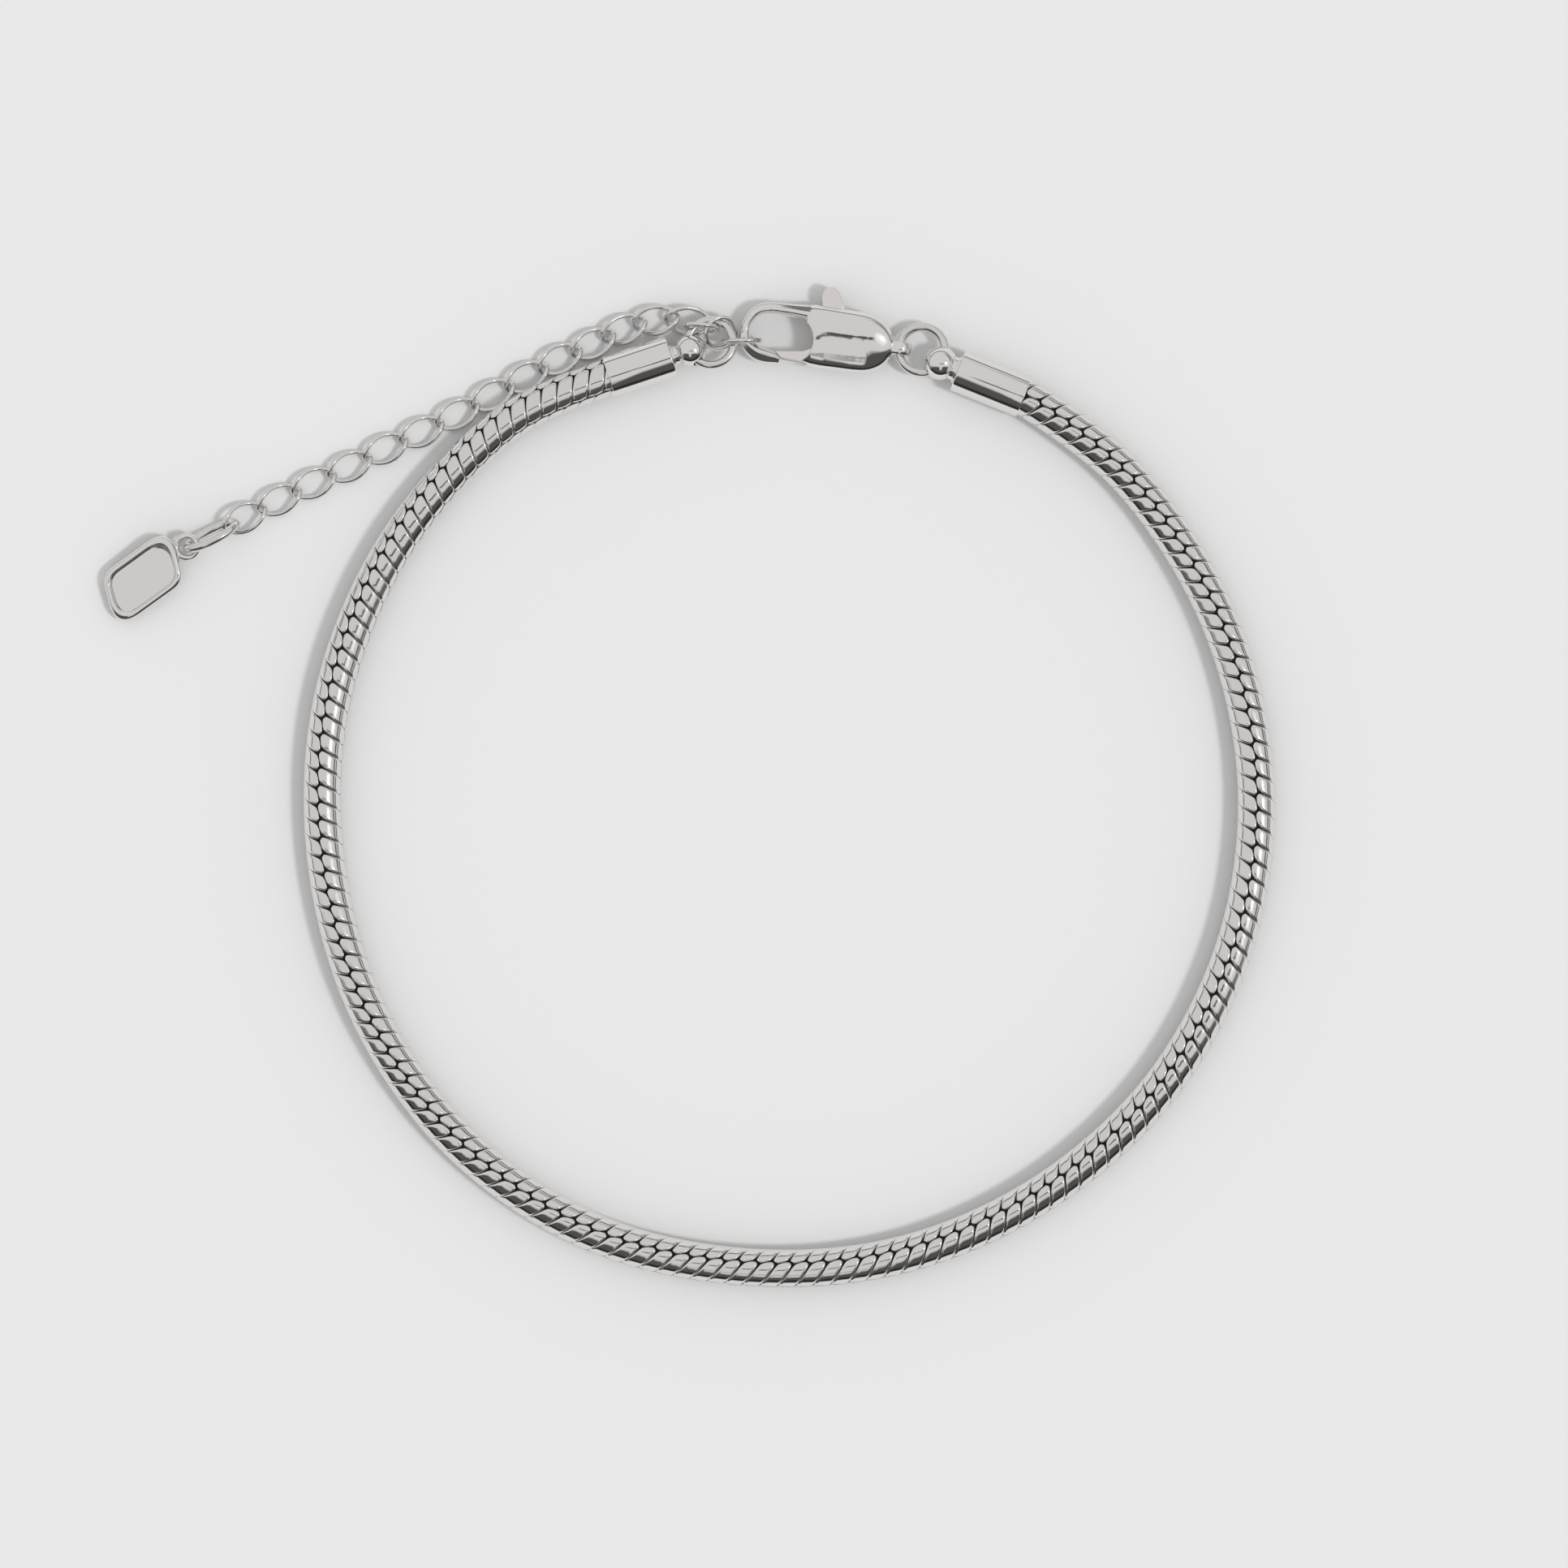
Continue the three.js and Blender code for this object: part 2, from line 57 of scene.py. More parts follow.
# Each at a loose seam, on the chain's top and underside, and at a tight seam, on its two sides
SCALE_HALF_GAPS = (0.066, 0.009)
SCALE_BEVELS = (0.17, 0.05)
SEAM_TEETH = (0.055, 0.03)
SCALE_ROUNDING = 0.22
# Share of a corner's looseness at the notch between two teeth, and how fast a gap closes
NOTCH_LOOSENESS = 0.3
GAP_POWER = 1.4
# Depth of a rolled edge as a share of its bevel, and how far the roll goes round
ROLL_DEPTH = 0.8
ROLL_END = 0.97
SEAM_STEP = 0.3
LINE_NET_TURNS = 1.0
CORE_SIDES = 24
CORE_RISE = 0.02
CURVE_STEPS = 120
CHAIN_ROUTE = [
    (-21.5, 28.2), (-30.3, 18.6), (-35.2, 6.7), (-35.7, -6.0), (-32.3, -18.0),
    (-25.1, -28.1), (-14.8, -35.0), (-2.8, -37.7), (9.3, -36.7), (20.5, -31.7),
    (29.6, -23.3), (35.3, -12.1), (36.8, 0.4), (33.9, 12.9), (26.9, 23.9),
]
# Share of the chain's length, and degrees from the chain's top to its outer side
SEAM_TURNS = [
    (0.0, 52.0), (0.04, 45.0), (0.09, 30.0), (0.15, 18.0), (0.25, 8.0),
    (0.42, -12.0), (0.5, -23.0), (0.6, -20.0), (0.78, -3.0), (1.0, 8.0),
]
# Share of the chain's length, and how far a scale's long edge slants over one column, in rows
SCALE_SLANTS = [
    (0.0, 0.75), (0.27, 0.75), (0.4, 0.9), (0.5, 1.1), (0.62, 1.0), (0.78, 0.8), (1.0, 0.78),
]

# End caps
CAP_RADIUS = 1.68
CAP_BORE_RADIUS = 1.52
CAP_BORE_DEPTH = 1.6
COLLAR_LENGTH = 0.5
WASHER_RISE = 0.14
WASHER_LENGTH = 0.16
# Corner radii of the cap: mouth's inner and outer edge, shoulder, washer, and the washer's foot
CAP_CORNERS = {"inner": 0.04, "outer": 0.07, "shoulder": 0.16, "washer": 0.05, "foot": 0.03}
CAP_SIDES = 72
BEAD_STEPS = 26
BEAD_OVERLAP_DEGREES = 4
AXIS_GAP = 0.01
BORE_STEPS = 72
BORE_SIDES = 32
RING_CLEARANCE = 0.12
CAP_LEFT = {"x": -13.67, "y": 31.71, "heading": 18.4, "length": 5.2, "collar": 0.78, "bead": 1.27}
CAP_RIGHT = {"x": 18.73, "y": 30.19, "heading": 158.1, "length": 5.6, "collar": 0.95, "bead": 1.33}

# Rings of round wire: centre, half sizes, heading, pitch, lean and wire radius
JUMP_WIRE = 0.34
THIN_WIRE = 0.19
RINGS = {
    "jump_ring_left": (-5.7, 34.4, 1.76, 1.76, 1.76, 27.5, -6.9, -4.0, JUMP_WIRE),
    "jump_ring_right": (10.76, 33.86, 1.52, 1.8, 1.8, -38.0, 2.0, 0.0, JUMP_WIRE),
    "connector_link": (-4.93, 35.17, 1.57, 1.26, 1.26, 132.4, 30.5, 5.3, THIN_WIRE),
    "fastening_link": (-3.33, 34.59, 1.47, 1.46, 1.26, 1.3, 7.2, 93.3, THIN_WIRE),
    "extender_link_00": (-6.45, 35.57, 1.68, 1.26, 1.26, 0.0, 35.0, 80.4, THIN_WIRE),
    "tag_jump_ring": (-44.64, 19.38, 1.48, 2.1, 1.25, 28.0, -6.3, -67.0, JUMP_WIRE),
}

# Extender links: centre, pitch, lean, heading where it isn't along its neighbours, and lift
LINK_HALF_LENGTH = 1.79
LINK_HALF_WIDTH = 1.04
LINK_TWIST = 45.0
LINK_STEPS = 56
LINK_SIDES = 12
TANGENT_STEP = 0.01
EXTENDER_LINKS = [
    (-7.47, 36.14, 4.5, 10.6, -8.0, 0.07),
    (-9.99, 36.2, 8.8, 0.0, None, 0.14),
    (-12.5, 35.5, 5.8, 0.0, None, 0.0),
    (-14.9, 34.4, 2.0, 0.0, None, 0.0),
    (-17.5, 33.2, 0.0, 0.0, None, 0.0),
    (-20.1, 31.8, 0.0, 0.0, None, 0.0),
    (-22.74, 30.39, 0.0, 0.0, None, 0.0),
    (-25.5, 28.9, 0.0, 0.0, None, 0.0),
    (-28.3, 27.5, 0.0, 0.0, None, 0.0),
    (-31.1, 26.2, 0.0, 0.0, None, 0.0),
    (-33.9, 24.8, 0.0, 0.0, None, 0.0),
    (-36.7, 23.5, 0.0, 0.0, None, 0.0),
    (-39.4, 22.2, 0.0, 0.0, None, 0.0),
    (-42.11, 20.79, -5.8, 0.0, None, 0.14),
]

# Tag
TAG = {"x": -49.9, "y": 16.1, "heading": 35.5, "pitch": 6.3}
TAG_HALF_ACROSS = 2.14
TAG_HALF_ALONG = 3.12
TAG_SLANT = 69.0
TAG_CORNER = 1.62
TAG_THICK = 1.3
EYELET_ALONG = 4.2
EYELET_MIDDLE = 0.85
EYELET_HALF = (0.24, 0.3)
EYELET_SIDES = 20
EYELET_STEPS = 56
# Neck from the plate to the eyelet
NECK = {"start": 2.9, "overlap": 0.1, "half_width": 0.45, "half_thick": 0.24, "sections": 5}
# Rim and field of the tag: inset from the outline, and height
TAG_PROFILE = [
    (0.22, 0.0), (0.1, 0.04), (0.02, 0.14), (0.0, 0.3), (0.0, 0.92), (0.03, 1.08), (0.11, 1.2),
    (0.24, 1.28), (0.36, 1.3), (0.44, 1.26), (0.5, 1.16), (0.54, 1.02), (0.6, 0.95), (0.75, 0.94),
]

# Clasp, in its own frame: u along its body to the tail, v across it to the thumb nub's side
CLASP = {"x": 4.68, "y": 34.61, "heading": -8.5}
CLASP_HEIGHT = 1.4778
CLASP_ROUNDNESS = 2.35
# Lean of the body's crest toward the thumb nub's side, less of it at the mouth's end
CLASP_LEAN = 0.13
LEAN_FROM = -3.1
LEAN_OVER = 1.6
LEAN_AT_MOUTH = 0.35
LEAN_FAR_SIDE = -0.6
CLASP_SIDES = 64
PIVOT = (-0.9, -0.5)
PIN = {"radius": 0.45, "bore": 0.53, "overlap": 0.4}
# u, half width, half thickness
CLASP_BODY = [
    (-3.1, 2.34, 1.28), (-2.5, 2.47, 1.42), (-1.4, 2.5, 1.47), (-0.2, 2.48, 1.49),
    (0.9, 2.46, 1.48), (2.0, 2.33, 1.4), (2.8, 2.0, 1.22), (3.4, 1.5, 1.0),
    (3.85, 0.8, 0.75), (4.1, 0.5, 0.6),
]
# u, v, width, thickness
HOOK = [
    (-1.3, 1.5, 1.6, 2.7), (-1.9, 1.6, 1.55, 2.68), (-2.9, 1.68, 1.36, 2.55),
    (-3.9, 1.7, 1.12, 2.1), (-5.0, 1.7, 0.96, 1.75), (-6.0, 1.66, 0.92, 1.55),
    (-6.8, 1.43, 0.9, 1.5), (-7.4, 0.85, 0.84, 1.42), (-7.74, 0.0, 0.76, 1.38),
    (-7.7, -0.85, 0.84, 1.36), (-7.3, -1.55, 1.0, 1.36),
    (-6.6, -2.0, 1.16, 1.38), (-5.85, -2.13, 1.16, 1.4), (-5.2, -2.17, 0.96, 1.38),
    (-4.72, -2.19, 0.88, 1.34),
]
# Slanting cut across the hook's tip, where the gate closes against it
TIP_CUT = [(-5.34, -1.6), (-4.64, -2.3), (-4.3, -2.8), (-3.9, -2.8), (-3.9, -1.5), (-5.2, -1.5)]
MOUTH = {"u": -4.24, "v": -0.6, "radius": 1.87}
TAIL_LOOP = {"u": 4.38, "middle": 0.75, "half_thick": 0.2, "half_width": 0.55}
LEVER_THICK = 1.05
SLOT_THICK = 1.17
LEVER_OUTLINE = [
    (-4.6, -2.24), (-3.05, -2.3), (-1.6, -1.72), (-0.6, -1.5), (0.05, -0.9), (0.1, 0.1),
    (-0.4, 1.2), (-0.36, 2.5), (-0.46, 2.87), (-0.62, 3.2), (-0.83, 3.51), (-1.08, 3.76),
    (-1.32, 3.91), (-1.57, 3.96), (-1.81, 3.9), (-2.0, 3.76), (-2.14, 3.51), (-2.2, 3.2),
    (-2.16, 2.8), (-2.06, 2.4), (-1.7, 0.7), (-2.0, -0.75), (-2.95, -1.28), (-5.22, -1.64),
]
LEVER_ROUNDING = {"share": 0.45, "steps": 6, "reach": 0.16}
SLOT_OUTLINE = [
    (-3.6, -2.6), (-1.6, -2.05), (-0.4, -1.75), (0.35, -1.0), (0.45, 0.2), (0.5, 1.2),
    (1.1, 2.9), (-2.4, 2.9), (-1.95, 0.8), (-3.0, 0.35),
]
CLASP_VOXEL = 0.05
LEVER_VOXEL = 0.045
CAST_SMOOTHING = 24
# Thicker than the clasp, so that a cut goes right through
THROUGH = 6
TIP_THROUGH = 3

# Photograph's frame, in millimetres and pixels
PHOTO_WIDTH = 1932 / 15.8
CAMERA_LENS = 200.0
CAMERA_SENSOR = 36.0
FLOOR_HALF = 3.0


def rotation(heading=0.0, pitch=0.0, lean=0.0):
    """Leans about the long axis, then pitches the far end up, then turns to the heading."""
    a, b, c = (math.radians(value) for value in (lean, -pitch, heading))
    about_x = np.array([[1, 0, 0], [0, math.cos(a), -math.sin(a)], [0, math.sin(a), math.cos(a)]])
    about_y = np.array([[math.cos(b), 0, math.sin(b)], [0, 1, 0], [-math.sin(b), 0, math.cos(b)]])
    about_z = np.array([[math.cos(c), -math.sin(c), 0], [math.sin(c), math.cos(c), 0], [0, 0, 1]])
    return about_z @ about_y @ about_x


def clasp_to_plan(points):
    turned = np.asarray(points, dtype=float) @ rotation(CLASP["heading"]).T
    return turned + np.array([CLASP["x"], CLASP["y"], CLASP_HEIGHT])


def plan_shift():
    """From the plan's middle to the frame's origin, read off the lever's hinge."""
    hinge = np.array(frame["record"]["behaviour"]["joints"][0]["pos_m"]) / MM
    return hinge - clasp_to_plan([[*PIVOT, 0.0]])[0]


SHIFT = plan_shift()


def to_frame(points):
    return (np.asarray(points, dtype=float) + SHIFT) * MM


def new_object(name, points, faces, keep_sharp=45.0):
    """Mesh object from points in plan millimetres, smooth up to an edge angle of keep_sharp."""
    mesh = bpy.data.meshes.new(name)
    mesh.from_pydata(to_frame(points).tolist(), [], faces)
    tidy = bmesh.new()
    tidy.from_mesh(mesh)
    bmesh.ops.recalc_face_normals(tidy, faces=tidy.faces)
    tidy.to_mesh(mesh)
    tidy.free()
    shade(mesh, keep_sharp)
    obj = bpy.data.objects.new(name, mesh)
    bpy.context.scene.collection.objects.link(obj)
    return obj


def shade(mesh, keep_sharp):
    mesh.polygons.foreach_set("use_smooth", [True] * len(mesh.polygons))
    mesh.set_sharp_from_angle(angle=math.radians(keep_sharp))


def dress(obj, nodes, material, body="anklet"):
    """Gives a piece its material and its body, and hides the CAD nodes it stands for."""
    obj.data.materials.clear()
    obj.data.materials.append(material)
    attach(obj, body)
    if nodes:
        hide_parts(*nodes)
    return obj


def full_turn(sides):
    return np.linspace(0, 2 * math.pi, sides, endpoint=False)


def skin(sections, closed):
    """Points and faces of a skin through sections of equal point counts."""
    count = len(sections[0])
    faces = []
    for i in range(len(sections) if closed else len(sections) - 1):
        near = i * count
        far = ((i + 1) % len(sections)) * count
        for k in range(count):
            after = (k + 1) % count
            faces.append((near + k, near + after, far + after, far + k))
    if not closed:
        last = (len(sections) - 1) * count
        faces.append(tuple(range(count - 1, -1, -1)))
        faces.append(tuple(range(last, last + count)))
    return np.concatenate(sections), faces


def baked(obj, name, modifiers):
    """Runs modifiers on an object and returns a plain object with the result."""
    for kind, settings in modifiers:
        modifier = obj.modifiers.new(kind.title(), kind)
        for key, value in settings.items():
            setattr(modifier, key, value)
    evaluated = obj.evaluated_get(bpy.context.evaluated_depsgraph_get())
    mesh = bpy.data.meshes.new_from_object(evaluated)
    result = bpy.data.objects.new(name, mesh)
    bpy.context.scene.collection.objects.link(result)
    bpy.data.objects.remove(obj)
    return result


def combine(name, base, steps):
    """Booleans in order: each step is (UNION or DIFFERENCE, object)."""
    modifiers = [
        ("BOOLEAN", {"object": other, "operation": operation, "solver": "EXACT"})
        for operation, other in steps
    ]
    result = baked(base, name, modifiers)
    for _, other in steps:
        bpy.data.objects.remove(other)
    return result


# Materials
def principled(name, colour, metallic, roughness):
    material = bpy.data.materials.new(name)
    material.use_nodes = True
    shader = material.node_tree.nodes["Principled BSDF"]
    shader.inputs["Base Color"].default_value = (*colour, 1.0)
    shader.inputs["Metallic"].default_value = metallic
    shader.inputs["Roughness"].default_value = roughness
    return material, shader


def plated_metal(name, colour, roughness, ripple):
    """Polished plating with faint ripples, their depth in millimetres."""
    material, shader = principled(name, colour, 1.0, roughness)
    tree = material.node_tree
    place = tree.nodes.new("ShaderNodeTexCoord")
    noise = tree.nodes.new("ShaderNodeTexNoise")
    noise.inputs["Scale"].default_value = 1.1 / MM
    noise.inputs["Detail"].default_value = 3.0
    bump = tree.nodes.new("ShaderNodeBump")
    bump.inputs["Strength"].default_value = 1.0
    bump.inputs["Distance"].default_value = ripple * MM
    tree.links.new(place.outputs["Object"], noise.inputs["Vector"])
    tree.links.new(noise.outputs["Fac"], bump.inputs["Height"])
    tree.links.new(bump.outputs["Normal"], shader.inputs["Normal"])
    return material


CHAIN_METAL = plated_metal("chain_metal", (0.80, 0.785, 0.775), 0.09, 0.004)
BRIGHT_METAL = plated_metal("bright_metal", (0.83, 0.815, 0.805), 0.06, 0.004)
LINK_METAL = plated_metal("link_metal", (0.78, 0.765, 0.755), 0.1, 0.003)
# Near-black, matt and barely reflecting: painted shade for the deep gaps between the chain's scales
PAINTED_SHADE_CORE_MATERIAL, PAINTED_SHADE_CORE_SHADER = principled("painted_shade_core", (0.01, 0.008, 0.008), 0.0, 0.7)
PAINTED_SHADE_CORE_SHADER.inputs["Specular IOR Level"].default_value = 0.1


# Chain centreline
def heading_vector(heading):
    return np.array([math.cos(math.radians(heading)), math.sin(math.radians(heading)), 0.0])


def inside_cap(cap, depth):
    return np.array([cap["x"], cap["y"], CAP_RADIUS]) + heading_vector(cap["heading"]) * depth


def centripetal(points, steps):
    """Centripetal Catmull-Rom curve through the points, as a fine polyline."""
    points = [2 * points[0] - points[1], *points, 2 * points[-1] - points[-2]]
    line = []
    for i in range(len(points) - 3):
        a, b, c, d = points[i:i + 4]
        ab, bc, cd = (math.sqrt(np.linalg.norm(q - p)) for p, q in ((a, b), (b, c), (c, d)))
        start = ((b - a) / ab - (c - a) / (ab + bc) + (c - b) / bc) * bc
        stop = ((c - b) / bc - (d - b) / (bc + cd) + (d - c) / cd) * bc
        for k in range(steps):
            t = k / steps
            line.append(b + start * t + (3 * (c - b) - 2 * start - stop) * t**2
                        + (2 * (b - c) + start + stop) * t**3)
    line.append(points[-2])
    return np.array(line)


CHAIN_LINE = centripetal(
    [inside_cap(CAP_LEFT, CHAIN_IN_CAP), inside_cap(CAP_LEFT, 0)]
    + [np.array([x, y, CHAIN_RADIUS]) for x, y in CHAIN_ROUTE]
    + [inside_cap(CAP_RIGHT, 0), inside_cap(CAP_RIGHT, CHAIN_IN_CAP)],
    CURVE_STEPS,
)
CHAIN_STEPS = np.linalg.norm(np.diff(CHAIN_LINE, axis=0), axis=1)
CHAIN_TRAVEL = np.concatenate([[0.0], np.cumsum(CHAIN_STEPS)])
CHAIN_LENGTH = CHAIN_TRAVEL[-1]
ROW = (CHAIN_LENGTH - 2 * CHAIN_IN_CAP) / SCALE_ROWS
CHAIN_TANGENTS = np.gradient(CHAIN_LINE, CHAIN_TRAVEL, axis=0)
UP = np.array([0.0, 0.0, 1.0])


def along_chain(travel, values):
    """Values given at each point of the centreline, read off at any travel."""
    return np.stack([np.interp(travel, CHAIN_TRAVEL, values[:, i]) for i in range(3)], axis=-1)


def on_chain(travel, turn, radius):
    """Points on the chain: travel along it, turn in radians from its top outward, and radius."""
    travel, turn, radius = np.broadcast_arrays(travel, turn, radius)
    outward = np.cross(along_chain(travel, CHAIN_TANGENTS), UP)
    outward /= np.linalg.norm(outward, axis=-1, keepdims=True)
    direction = np.cos(turn)[..., None] * UP + np.sin(turn)[..., None] * outward
    return along_chain(travel, CHAIN_LINE) + radius[..., None] * direction


def table_value(table, share):
    return np.interp(share, [row[0] for row in table], [row[1] for row in table])


# Snake chain's scales
def between(pair, share):
    """First of the pair at a share of 1, second at 0."""
    return pair[1] + (pair[0] - pair[1]) * share


def scale_corners(slant):
    """Corners of one scale for each column: columns from the seam, rows along the chain, looseness.

    The long edges slant back by slant rows a column. At each seam they step forward again, so a
    scale's two ends are teeth that interlock with the next column's. The gaps are wide at a loose
    seam's corners.
    """
    fall = slant * (1 - sum(SEAM_TEETH))
    hidden_step = (SCALE_COLUMNS * fall - LINE_NET_TURNS - SEAM_STEP) / (SCALE_COLUMNS - 1)
    corners = []
    start = SEAM_STEP / 2
    for column in range(SCALE_COLUMNS):
        loose = [(column + i + 1) % 2 for i in range(2)]
        teeth = [between(SEAM_TEETH, share) for share in loose]
        steps = [SEAM_STEP if (column + i) % SCALE_COLUMNS == 0 else hidden_step for i in range(2)]
        stop = start - fall
        near = [
            (column + teeth[0], start, loose[0]),
            (column, start + (1 - steps[0]) / 2, NOTCH_LOOSENESS * loose[0]),
            (column - teeth[0], start - steps[0] + 1, loose[0]),
            (column + teeth[0], start + 1, loose[0]),
        ]
        far = [
            (column + 1 - teeth[1], stop + 1, loose[1]),
            (column + 1, stop + (1 + steps[1]) / 2, NOTCH_LOOSENESS * loose[1]),
            (column + 1 + teeth[1], stop + steps[1], loose[1]),
            (column + 1 - teeth[1], stop, loose[1]),
        ]
        corners.append(near + far)
        start = stop + steps[1]
    return corners


def rounded(corners, share, steps, reach=math.inf):
    """Rounds a closed outline's corners, each over a share of its two edges, reach at most."""
    corners = np.array(corners, dtype=float)
    outline = []
    for i, corner in enumerate(corners):
        start, stop = (
            corner + edge * min(share, reach / np.linalg.norm(edge))
            for edge in (corners[i - 1] - corner, corners[(i + 1) % len(corners)] - corner)
        )
        for t in np.linspace(0, 1, steps):
            outline.append((1 - t)**2 * start + 2 * t * (1 - t) * corner + t**2 * stop)
    return np.array(outline)


def edge_distance(points, outline):
    """Least distance from each point to a closed outline."""
    a = outline
    b = np.roll(outline, -1, axis=0)
    edge = b - a
    share = ((points[:, None] - a) * edge).sum(-1) / np.maximum((edge**2).sum(-1), 1e-12)
    nearest = a + np.clip(share, 0, 1)[..., None] * edge
    return np.linalg.norm(points[:, None] - nearest, axis=-1).min(axis=1)


# Grid of one scale: shares of its width and of its length, and what the ends keep clear
SCALE_ACROSS = np.array(
    [0, 0.035, 0.09, 0.16, 0.26, 0.38, 0.5, 0.62, 0.74, 0.84, 0.91, 0.965, 1.0]
)
SCALE_ALONG = np.array([0, 0.06, 0.15, 0.3, 0.5, 0.7, 0.85, 0.94, 1.0])
SCALE_END = 0.002
CORNER_STEPS = 7


def scale_template(corners):
    """Grid of one scale: columns from the seam, rows along, and depth below the chain's radius."""
    width = CHAIN_RADIUS * 2 * math.pi / SCALE_COLUMNS
    soft = rounded(np.array(corners) * [width, ROW, 1], SCALE_ROUNDING, CORNER_STEPS)
    outline, loose = np.split(soft, [2], axis=1)
    along_edge = np.roll(outline, -1, axis=0) - np.roll(outline, 1, axis=0)
    inward = np.stack([along_edge[:, 1], -along_edge[:, 0]], axis=1)
    inward /= np.linalg.norm(inward, axis=1, keepdims=True)
    outline = outline + inward * between(SCALE_HALF_GAPS, loose**GAP_POWER)
    lowest, highest = outline[:, 0].min(), outline[:, 0].max()
    grid = []
    for share in SCALE_ACROSS:
        x = lowest + (highest - lowest) * (SCALE_END + (1 - 2 * SCALE_END) * share)
        crossings = []
        for p, q in zip(outline, np.roll(outline, -1, axis=0)):
            if (p[0] - x) * (q[0] - x) < 0:
                crossings.append(p[1] + (q[1] - p[1]) * (x - p[0]) / (q[0] - p[0]))
        near, far = min(crossings), max(crossings)
        grid.append([(x, near + (far - near) * b) for b in SCALE_ALONG])
    grid = np.array(grid)
    depth = edge_distance(grid.reshape(-1, 2), outline).reshape(grid.shape[:2])
    bevel = between(SCALE_BEVELS, np.abs(1 - np.mod(grid[..., 0] / width, 2)))
    roll = np.clip(1 - depth / bevel, 0, 1)
    drop = bevel * ROLL_DEPTH * (1 - np.sqrt(1 - np.minimum(roll, ROLL_END)**2))
    return grid[..., 0] / width, grid[..., 1] / ROW, drop


def grid_rim(across, along):
    """Indices of a grid's outermost points, once round."""
    rim = [(i, 0) for i in range(across)]
    rim += [(across - 1, k) for k in range(1, along)]
    rim += [(i, along - 1) for i in range(across - 2, -1, -1)]
    rim += [(0, k) for k in range(along - 2, 0, -1)]
    return [i * along + k for i, k in rim]


def scales():
    """Every scale is a closed plate whose rolled edges dip into the core, a near-black tube that is
    painted shade for the gaps between scales.
    """
    points, faces = [], []
    across, along = len(SCALE_ACROSS), len(SCALE_ALONG)
    rim = grid_rim(across, along)
    total = 0
    for row in range(-SPARE_ROWS, SCALE_ROWS + SPARE_ROWS + 1):
        share = np.clip((row + 0.5) / SCALE_ROWS, 0, 1)
        slant = float(table_value(SCALE_SLANTS, share))
        for corners in scale_corners(slant):
            columns, rows, drop = scale_template(corners)
            travel = CHAIN_IN_CAP + (row + rows) * ROW
            if travel.max() < CHAIN_IN_CAP or travel.min() > CHAIN_LENGTH - CHAIN_IN_CAP:
                continue
            travel = np.clip(travel, END_MARGIN, CHAIN_LENGTH - END_MARGIN)
            seam = np.radians(table_value(SEAM_TURNS, travel / CHAIN_LENGTH))
            turn = seam + columns * 2 * math.pi / SCALE_COLUMNS
            top = on_chain(travel, turn, CHAIN_RADIUS - drop).reshape(-1, 3)
            flat = np.full(len(rim), CORE_RADIUS)
            low = on_chain(travel.ravel()[rim], turn.ravel()[rim], flat)
            points += [top, low]
            for i in range(across - 1):
                for k in range(along - 1):
                    a = total + i * along + k
                    faces.append((a, a + 1, a + along + 1, a + along))
            base = total + across * along
            for i, inner in enumerate(rim):
                j = (i + 1) % len(rim)
                faces.append((total + inner, total + rim[j], base + j, base + i))
            faces.append(tuple(base + i for i in range(len(rim))))
            total += across * along + len(rim)
    obj = new_object("snake_chain_scales", np.concatenate(points), faces, 60)
    dress(obj, ["snake_chain"], CHAIN_METAL)


# Tube under the scales in the painted-shade material, so the gaps between them show as shade
def core():
    turns = full_turn(CORE_SIDES)
    sections = [
        on_chain(travel, turns, CORE_RADIUS + CORE_RISE)
        for travel in np.linspace(0.0, CHAIN_LENGTH, 4 * SCALE_ROWS)
    ]
    obj = new_object("snake_chain_painted_shade_core", *skin(sections, False))
    dress(obj, [], PAINTED_SHADE_CORE_MATERIAL)


# Rings and links
def wire(point_at, radius, steps, sides):
    """Sections of a closed ring of round wire along point_at(angle)."""
    sections = []
    turns = full_turn(sides)[:, None]
    for angle in full_turn(steps):
        centre = point_at(angle)
        tangent = point_at(angle + TANGENT_STEP) - point_at(angle - TANGENT_STEP)
        tangent /= np.linalg.norm(tangent)
        outward = centre - tangent * centre.dot(tangent)
        outward /= np.linalg.norm(outward)
        side = np.cross(tangent, outward)
        sections.append(centre + radius * (np.cos(turns) * outward + np.sin(turns) * side))
    return sections


def ring_sections(ring, extra=0.0, steps=64, sides=16):
    x, y, z, long, wide, heading, pitch, lean, radius = ring
    sections = wire(lambda a: np.array([long * math.cos(a), wide * math.sin(a), 0.0]),
                    radius + extra, steps, sides)
    turn = rotation(heading, pitch, lean)
    return [section @ turn.T + np.array([x, y, z]) for section in sections]


def wire_rings():
    for name, ring in RINGS.items():
        obj = new_object(name + "_wire", *skin(ring_sections(ring), True))
        dress(obj, [name], LINK_METAL)


def curb_point(angle):
    twist = -math.radians(LINK_TWIST) * math.cos(angle)
    across = LINK_HALF_WIDTH * math.sin(angle)
    along = LINK_HALF_LENGTH * math.cos(angle)
    return np.array([along, across * math.cos(twist), across * math.sin(twist)])


def extender_links():
    for i, (x, y, pitch, lean, heading, lift) in enumerate(EXTENDER_LINKS):
        before = EXTENDER_LINKS[max(i - 1, 0)]
        after = EXTENDER_LINKS[min(i + 1, len(EXTENDER_LINKS) - 1)]
        if heading is None:
            heading = math.degrees(math.atan2(before[1] - after[1], before[0] - after[0]))
        sections = wire(curb_point, THIN_WIRE, LINK_STEPS, LINK_SIDES)
        points, faces = skin(sections, True)
        points = points @ rotation(heading, pitch, lean).T
        points += np.array([x, y, lift - points[:, 2].min()])
        name = f"extender_link_{i + 1:02d}"
        obj = new_object(name + "_wire", points, faces)
        dress(obj, [name], LINK_METAL)


